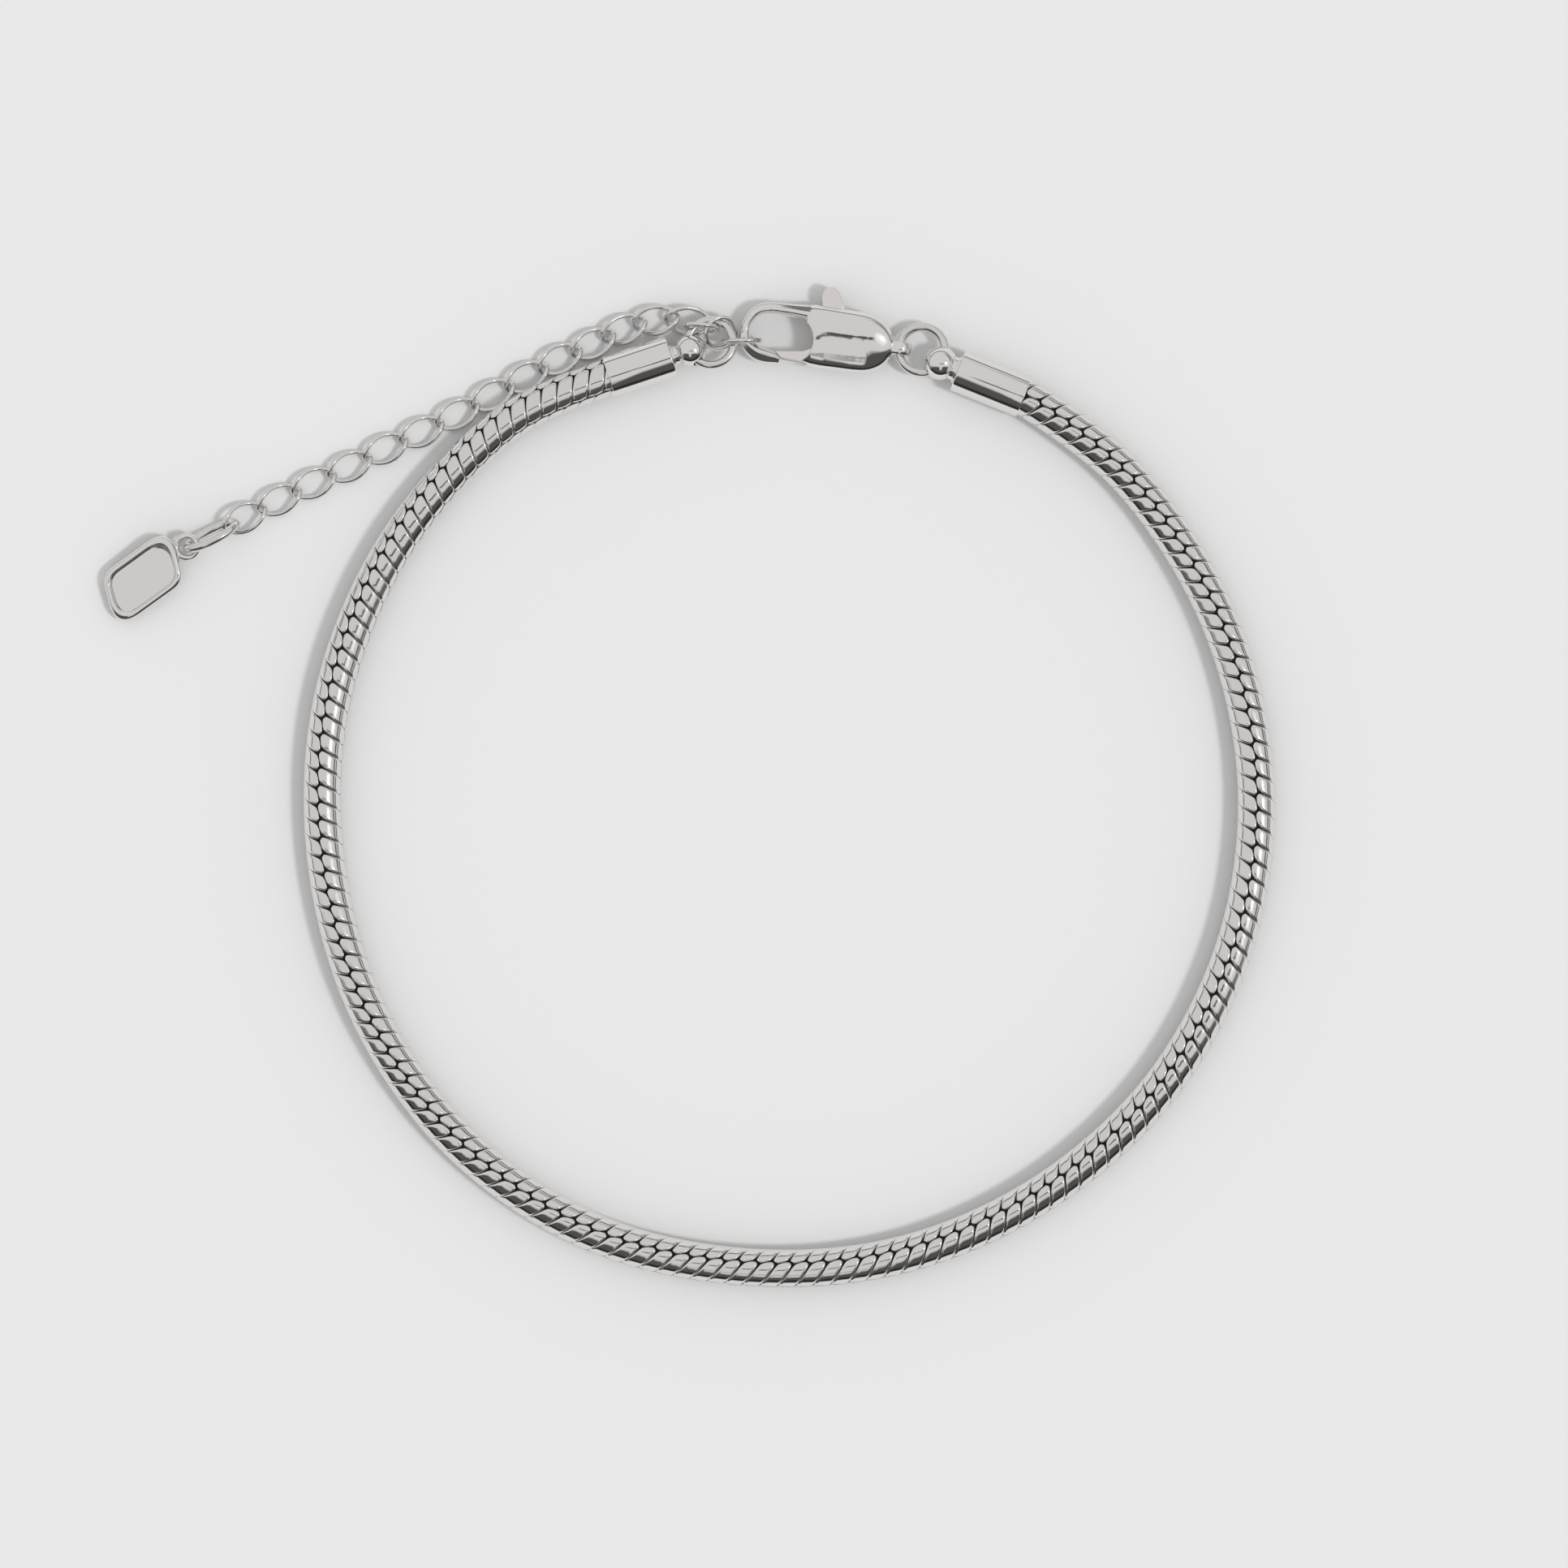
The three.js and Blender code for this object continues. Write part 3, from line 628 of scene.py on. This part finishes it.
# End caps
def fillet(profile):
    """Profile of (radius, along, corner radius) rows with its corners rounded."""
    rows = [np.array(row, dtype=float) for row in profile]
    line = [rows[0][:2]]
    for before, at, after in zip(rows, rows[1:], rows[2:]):
        if at[2] == 0:
            line.append(at[:2])
            continue
        to_before = before[:2] - at[:2]
        to_after = after[:2] - at[:2]
        start = at[:2] + to_before / np.linalg.norm(to_before) * at[2]
        stop = at[:2] + to_after / np.linalg.norm(to_after) * at[2]
        for t in np.linspace(0, 1, 6):
            line.append((1 - t)**2 * start + 2 * t * (1 - t) * at[:2] + t**2 * stop)
    line.append(rows[-1][:2])
    return line


def end_cap(name, cap, ring, node):
    length, collar, bead = cap["length"], cap["collar"], cap["bead"]
    shoulder = length + COLLAR_LENGTH
    centre = shoulder + math.sqrt(bead**2 - collar**2)
    profile = fillet([
        (AXIS_GAP, CAP_BORE_DEPTH, 0),
        (CAP_BORE_RADIUS, CAP_BORE_DEPTH, 0),
        (CAP_BORE_RADIUS, 0.0, CAP_CORNERS["inner"]),
        (CAP_RADIUS, 0.0, CAP_CORNERS["outer"]),
        (CAP_RADIUS, length, CAP_CORNERS["shoulder"]),
        (collar + WASHER_RISE, length, CAP_CORNERS["washer"]),
        (collar + WASHER_RISE, length + WASHER_LENGTH, CAP_CORNERS["washer"]),
        (collar, length + WASHER_LENGTH, CAP_CORNERS["foot"]),
        (collar, shoulder, 0),
    ])
    start = math.degrees(math.asin(collar / bead))
    for degrees in np.linspace(180 - start - BEAD_OVERLAP_DEGREES, 2, BEAD_STEPS):
        turn = math.radians(degrees)
        profile.append(np.array([bead * math.sin(turn), centre + bead * math.cos(turn)]))
    turns = full_turn(CAP_SIDES)
    sections = [
        np.column_stack([np.full(CAP_SIDES, along), radius * np.cos(turns), radius * np.sin(turns)])
        for radius, along in profile
    ]
    points, faces = skin(sections, False)
    points = points @ rotation(cap["heading"]).T + np.array([cap["x"], cap["y"], CAP_RADIUS])
    turned = new_object(name + "_turned", points, faces)
    clearance = ring_sections(ring, RING_CLEARANCE, BORE_STEPS, BORE_SIDES)
    bore = new_object(name + "_bore", *skin(clearance, True))
    obj = combine(name, turned, [("DIFFERENCE", bore)])
    shade(obj.data, 35)
    dress(obj, [node], BRIGHT_METAL)


# Tag
def tag_outline(inset):
    across = TAG_HALF_ACROSS - inset
    along = (TAG_HALF_ALONG - inset) / math.sin(math.radians(TAG_SLANT))
    lean = across / math.tan(math.radians(TAG_SLANT))
    corners = [np.array(p) for p in (
        (-along - lean, -across), (along - lean, -across),
        (along + lean, across), (-along + lean, across),
    )]
    outline = []
    for i, corner in enumerate(corners):
        to_last = corners[i - 1] - corner
        to_next = corners[(i + 1) % 4] - corner
        to_last /= np.linalg.norm(to_last)
        to_next /= np.linalg.norm(to_next)
        reach = (TAG_CORNER - inset / 2) / math.tan(math.acos(to_last.dot(to_next)) / 2)
        start = corner + to_last * reach
        stop = corner + to_next * reach
        for t in np.linspace(0, 1, 14):
            outline.append((1 - t)**2 * start + 2 * t * (1 - t) * corner + t**2 * stop)
    return np.array(outline)


def tag():
    sections = []
    for inset, height in TAG_PROFILE:
        outline = tag_outline(inset)
        sections.append(np.column_stack([outline, np.full(len(outline), height)]))
    plate = skin(sections, False)
    turns = full_turn(EYELET_SIDES)[:, None]
    loop = []
    for angle in full_turn(EYELET_STEPS):
        outward = np.array([math.cos(angle), math.sin(angle), 0.0])
        centre = outward * EYELET_MIDDLE + np.array([EYELET_ALONG, 0.0, TAG_THICK / 2])
        loop.append(centre + EYELET_HALF[0] * np.cos(turns) * outward
                    + EYELET_HALF[1] * np.sin(turns) * UP)
    side = NECK["half_width"] * np.cos(turns) * np.array([0.0, 1.0, 0.0])
    oval = side + NECK["half_thick"] * np.sin(turns) * UP
    neck_end = EYELET_ALONG - EYELET_MIDDLE + NECK["overlap"]
    neck = [
        oval + np.array([along, 0.0, TAG_THICK / 2])
        for along in np.linspace(NECK["start"], neck_end, NECK["sections"])
    ]
    turn = rotation(TAG["heading"], TAG["pitch"])
    lift = -(plate[0] @ turn.T)[:, 2].min()
    place = np.array([TAG["x"], TAG["y"], lift])
    parts = [
        new_object("tag_" + label, points @ turn.T + place, faces)
        for label, (points, faces) in (
            ("plate", plate), ("loop", skin(loop, True)), ("neck", skin(neck, False)),
        )
    ]
    obj = combine("tag_bare", parts[0], [("UNION", parts[1]), ("UNION", parts[2])])
    shade(obj.data, 40)
    dress(obj, ["tag"], BRIGHT_METAL)


# Clasp
def refined(rows, steps):
    """Rows of numbers with steps - 1 smooth rows put in between each pair."""
    rows = [np.array(row, dtype=float) for row in rows]
    rows = [2 * rows[0] - rows[1], *rows, 2 * rows[-1] - rows[-2]]
    fine = []
    for a, b, c, d in zip(rows, rows[1:], rows[2:], rows[3:]):
        for t in np.linspace(0, 1, steps, endpoint=False):
            fine.append(0.5 * (2 * b + (c - a) * t + (2 * a - 5 * b + 4 * c - d) * t**2
                               + (3 * b - a - 3 * c + d) * t**3))
    fine.append(rows[-2])
    return fine


def clasp_pillow():
    """Body before its cuts: rounded sections along u, whose top leans to one side."""
    sections = []
    turns = full_turn(CLASP_SIDES)
    power = 2 / CLASP_ROUNDNESS
    across = np.sign(np.cos(turns)) * np.abs(np.cos(turns))**power
    rise = np.sign(np.sin(turns)) * np.abs(np.sin(turns))**power
    for u, half_width, half_thick in refined(CLASP_BODY, 6):
        lean = CLASP_LEAN * min(max((u - LEAN_FROM) / LEAN_OVER, LEAN_AT_MOUTH), 1)
        crest = lean * half_width * np.maximum(across, LEAN_FAR_SIDE) * np.maximum(rise, 0)
        height = half_thick * rise + crest
        sections.append(np.stack([np.full(CLASP_SIDES, u), half_width * across, height], axis=1))
    return skin(sections, False)


# Section of the hook's band: shares of its width from the outer edge, and of its thickness
HOOK_SECTION = [
    (-0.5, -0.2), (-0.47, 0.14), (-0.4, 0.28), (0.02, 0.47), (0.14, 0.5), (0.26, 0.47), (0.42, 0.3),
    (0.5, 0.08), (0.5, -0.2), (0.4, -0.42), (0.2, -0.5), (-0.2, -0.5), (-0.4, -0.42),
]


def clasp_hook():
    rows = refined(HOOK, 5)
    sections = []
    for i, (u, v, width, thick) in enumerate(rows):
        before = rows[max(i - 1, 0)]
        after = rows[min(i + 1, len(rows) - 1)]
        travel = (after - before)[:2] / np.linalg.norm((after - before)[:2])
        left = np.array([-travel[1], travel[0]])
        sections.append(np.array([
            (u + left[0] * width * a, v + left[1] * width * a, thick * b) for a, b in HOOK_SECTION
        ]))
    return skin(sections, False)


def upright(outline, thick):
    half = thick / 2
    outline = np.array(outline)
    sections = [np.column_stack([outline, np.full(len(outline), z)]) for z in (-half, half)]
    return skin(sections, False)


def disc(u, v, radius, thick, sides=48):
    turns = full_turn(sides)
    outline = np.stack([u + radius * np.cos(turns), v + radius * np.sin(turns)], axis=1)
    return upright(outline, thick)


def tail_loop():
    """Upright ring with an oval section, wider than it is thick."""
    turns = full_turn(24)
    radius = TAIL_LOOP["middle"] + TAIL_LOOP["half_thick"] * np.cos(turns)
    across = TAIL_LOOP["half_width"] * np.sin(turns)
    sections = [
        np.column_stack([TAIL_LOOP["u"] + radius * math.cos(angle), across, radius * math.sin(angle)])
        for angle in full_turn(48)
    ]
    return skin(sections, True)


def clasp_object(name, shape):
    points, faces = shape
    return new_object(name, clasp_to_plan(points), faces)


def cast(obj, name, voxel):
    """Melts a piece's edges together as in a casting."""
    return baked(obj, name, [
        ("REMESH", {"mode": "VOXEL", "voxel_size": voxel * MM, "use_smooth_shade": True}),
        ("SMOOTH", {"factor": 0.5, "iterations": CAST_SMOOTHING}),
    ])


def clasp_body():
    mouth = disc(MOUTH["u"], MOUTH["v"], MOUTH["radius"], THROUGH)
    pin = disc(*PIVOT, PIN["radius"], SLOT_THICK + PIN["overlap"])
    rough = combine("clasp_rough", clasp_object("clasp_pillow", clasp_pillow()), [
        ("DIFFERENCE", clasp_object("clasp_mouth", mouth)),
        ("UNION", clasp_object("clasp_hook", clasp_hook())),
        ("DIFFERENCE", clasp_object("clasp_tip_cut", upright(TIP_CUT, TIP_THROUGH))),
        ("UNION", clasp_object("clasp_tail", tail_loop())),
        ("DIFFERENCE", clasp_object("clasp_slot", upright(SLOT_OUTLINE, SLOT_THICK))),
        ("UNION", clasp_object("clasp_pin", pin)),
    ])
    obj = cast(rough, "clasp_body_cast", CLASP_VOXEL)
    shade(obj.data, 180)
    dress(obj, ["clasp_body"], BRIGHT_METAL)


def clasp_lever():
    bore = disc(*PIVOT, PIN["bore"], LEVER_THICK * 2)
    outline = rounded(LEVER_OUTLINE, **LEVER_ROUNDING)
    rough = combine("lever_rough", clasp_object("lever_plate", upright(outline, LEVER_THICK)), [
        ("DIFFERENCE", clasp_object("lever_bore", bore)),
    ])
    obj = cast(rough, "clasp_lever_cast", LEVER_VOXEL)
    shade(obj.data, 180)
    dress(obj, ["clasp_lever"], BRIGHT_METAL, "lever")


# Surroundings
def floor():
    mesh = bpy.data.meshes.new("surface")
    corners = [(x * FLOOR_HALF, y * FLOOR_HALF, 0) for x, y in ((-1, -1), (1, -1), (1, 1), (-1, 1))]
    mesh.from_pydata(corners, [], [(0, 1, 2, 3)])
    obj = bpy.data.objects.new("surface", mesh)
    bpy.context.scene.collection.objects.link(obj)
    material, shader = principled("pale_surface", (0.65, 0.648, 0.646), 0.0, 1.0)
    shader.inputs["Specular IOR Level"].default_value = 0.0
    mesh.materials.append(material)


KEY_FROM = Vector((0.487, -0.168, 0.857))
KEY_ENERGY = 1.25
KEY_DEGREES = 9
BOX_FROM = Vector((0.61, -0.06, 0.79))

# The tent round the metal, by direction: z is 1 straight up, front is 1 on the picture's lower
# side, and right is 1 on its right. A pair is where a smooth step starts and ends, and four
# values are where a band rises and falls.
TENT_BRIGHTNESS = 0.72
DARKEST = 0.97
FRONT_GAP = {
    "top": 0.2, "top_in_front": 0.45, "front": (0.2, 0.85), "top_sideways": 0.22,
    "sideways": (0.08, 0.32), "edge": (-0.04, 0.1), "darkness": 0.9,
    "foot": (0.38, 0.26), "foot_darkness": 0.09, "ends": (0.1, 0.6),
}
HORIZON = {"z": (-0.12, -0.04, 0.1, 0.16), "darkness": 0.75}
RIGHT_GAP = {"z": (0.22, 0.27, 0.36, 0.42), "darkness": 0.9, "ends": (0.2, 0.75)}
STREAKS = [
    {"y": (-0.19, -0.175, -0.105, -0.09), "darkness": 0.92},
    {"y": (-0.66, -0.635, -0.6, -0.575), "darkness": 0.5},
]
STREAK_ENDS = {"left": (-0.15, -0.07), "right": (0.45, 0.3), "z": (0.3, 0.5)}
STREAK_NOISE = {"scale": 22.0, "detail": 3.0, "wander": 0.1}
# Degrees from the middle, outer and inner, and brightness over the tent's
BOX = {"degrees": (15, 6), "brightness": 0.33}
SPARK = {"degrees": (4.5, 2.5), "brightness": 6.0}
TENT_COLOUR = (1.0, 0.985, 0.975, 1.0)
PLAIN_COLOUR = (0.91, 0.912, 0.914, 1.0)


def key_light():
    data = bpy.data.lights.new("key", "SUN")
    data.energy = KEY_ENERGY
    data.angle = math.radians(KEY_DEGREES)
    obj = bpy.data.objects.new("key", data)
    obj.rotation_mode = "QUATERNION"
    obj.rotation_quaternion = KEY_FROM.to_track_quat("Z", "Y")
    obj.visible_glossy = False
    bpy.context.scene.collection.objects.link(obj)


class Shade:
    """Short names for the math nodes of one node tree."""

    def __init__(self, tree):
        self.tree = tree

    def math(self, operation, *values):
        node = self.tree.nodes.new("ShaderNodeMath")
        node.operation = operation
        for socket, value in zip(node.inputs, values):
            if isinstance(value, (int, float)):
                socket.default_value = value
            else:
                self.tree.links.new(value, socket)
        return node.outputs[0]

    def ramp(self, value, low, high):
        """0 at low, 1 at high, smooth in between."""
        node = self.tree.nodes.new("ShaderNodeMapRange")
        node.interpolation_type = "SMOOTHSTEP"
        for name, number in (("From Min", low), ("From Max", high)):
            if isinstance(number, (int, float)):
                node.inputs[name].default_value = number
            else:
                self.tree.links.new(number, node.inputs[name])
        self.tree.links.new(value, node.inputs["Value"])
        return node.outputs["Result"]

    def plus(self, a, b):
        return self.math("ADD", a, b)

    def minus(self, a, b):
        return self.math("SUBTRACT", a, b)

    def times(self, a, b):
        return self.math("MULTIPLY", a, b)

    def most(self, a, b):
        return self.math("MAXIMUM", a, b)

    def band(self, value, edges, strength):
        """Rises over the first two edges and falls over the last two."""
        rise = self.ramp(value, edges[0], edges[1])
        fall = self.ramp(value, edges[3], edges[2])
        return self.times(self.times(rise, fall), strength)


def darkness(node, x, y, z, noise):
    """How dark the tent is in each direction, from 0 to 1."""
    level = node.math("SQRT", node.plus(node.times(x, x), node.times(y, y)))
    level = node.most(level, 0.001)
    front = node.math("DIVIDE", node.times(y, -1.0), level)
    right = node.math("DIVIDE", x, level)
    gap = FRONT_GAP
    top = node.plus(node.times(node.ramp(front, *gap["front"]), gap["top_in_front"]), gap["top"])
    sideways = node.ramp(node.math("ABSOLUTE", right), *gap["sideways"])
    top = node.plus(top, node.times(sideways, gap["top_sideways"]))
    edge = node.times(node.ramp(node.minus(top, z), *gap["edge"]), gap["darkness"])
    dark = node.plus(edge, node.times(node.ramp(z, *gap["foot"]), gap["foot_darkness"]))
    dark = node.times(dark, node.ramp(front, *gap["ends"]))
    dark = node.most(dark, node.band(z, HORIZON["z"], HORIZON["darkness"]))
    side = node.band(z, RIGHT_GAP["z"], RIGHT_GAP["darkness"])
    dark = node.most(dark, node.times(side, node.ramp(right, *RIGHT_GAP["ends"])))
    middle = node.times(node.ramp(x, *STREAK_ENDS["left"]), node.ramp(x, *STREAK_ENDS["right"]))
    ragged = node.plus(y, node.times(node.minus(noise, 0.5), STREAK_NOISE["wander"]))
    for row in STREAKS:
        streak = node.times(node.band(ragged, row["y"], row["darkness"]), middle)
        dark = node.most(dark, node.times(streak, node.ramp(z, *STREAK_ENDS["z"])))
    return dark


def studio():
    """Pale tent with a soft box toward the key light and dark gaps low on its front side.

    Only the metal sees it. The camera and the floor see a plain pale dome.
    """
    world = bpy.data.worlds.new("studio")
    bpy.context.scene.world = world
    world.use_nodes = True
    tree = world.node_tree
    node = Shade(tree)
    place = tree.nodes.new("ShaderNodeTexCoord")
    split = tree.nodes.new("ShaderNodeSeparateXYZ")
    tree.links.new(place.outputs["Generated"], split.inputs["Vector"])
    noise = tree.nodes.new("ShaderNodeTexNoise")
    noise.inputs["Scale"].default_value = STREAK_NOISE["scale"]
    noise.inputs["Detail"].default_value = STREAK_NOISE["detail"]
    tree.links.new(place.outputs["Generated"], noise.inputs["Vector"])
    dark = darkness(node, *split.outputs, noise.outputs["Fac"])
    toward = tree.nodes.new("ShaderNodeVectorMath")
    toward.operation = "DOT_PRODUCT"
    toward.inputs[1].default_value = BOX_FROM
    tree.links.new(place.outputs["Generated"], toward.inputs[0])
    pale = TENT_BRIGHTNESS
    for lamp in (BOX, SPARK):
        edges = [math.cos(math.radians(degrees)) for degrees in lamp["degrees"]]
        glow = node.ramp(toward.outputs["Value"], *edges)
        pale = node.plus(pale, node.times(glow, lamp["brightness"]))
    strength = node.times(pale, node.minus(1.0, node.times(dark, DARKEST)))
    background = tree.nodes["Background"]
    background.inputs["Color"].default_value = TENT_COLOUR
    tree.links.new(strength, background.inputs["Strength"])
    plain = tree.nodes.new("ShaderNodeBackground")
    plain.inputs["Color"].default_value = PLAIN_COLOUR
    seen = tree.nodes.new("ShaderNodeLightPath")
    mix = tree.nodes.new("ShaderNodeMixShader")
    matt = node.most(seen.outputs["Is Camera Ray"], seen.outputs["Is Diffuse Ray"])
    tree.links.new(matt, mix.inputs["Fac"])
    tree.links.new(background.outputs["Background"], mix.inputs[1])
    tree.links.new(plain.outputs["Background"], mix.inputs[2])
    tree.links.new(mix.outputs["Shader"], tree.nodes["World Output"].inputs["Surface"])


def camera():
    data = bpy.data.cameras.new("camera")
    data.lens = CAMERA_LENS
    data.sensor_width = CAMERA_SENSOR
    data.clip_end = 5.0
    obj = bpy.data.objects.new("camera", data)
    height = CHAIN_RADIUS + PHOTO_WIDTH * CAMERA_LENS / CAMERA_SENSOR
    obj.location = Vector(to_frame([0.0, 0.0, height]))
    bpy.context.scene.collection.objects.link(obj)
    bpy.context.scene.camera = obj


bpy.context.scene.view_settings.view_transform = "Standard"
camera()
key_light()
studio()
floor()
scales()
core()
wire_rings()
extender_links()
end_cap("end_cap_left_turned", CAP_LEFT, RINGS["jump_ring_left"], "end_cap_left")
end_cap("end_cap_right_turned", CAP_RIGHT, RINGS["jump_ring_right"], "end_cap_right")
tag()
clasp_body()
clasp_lever()
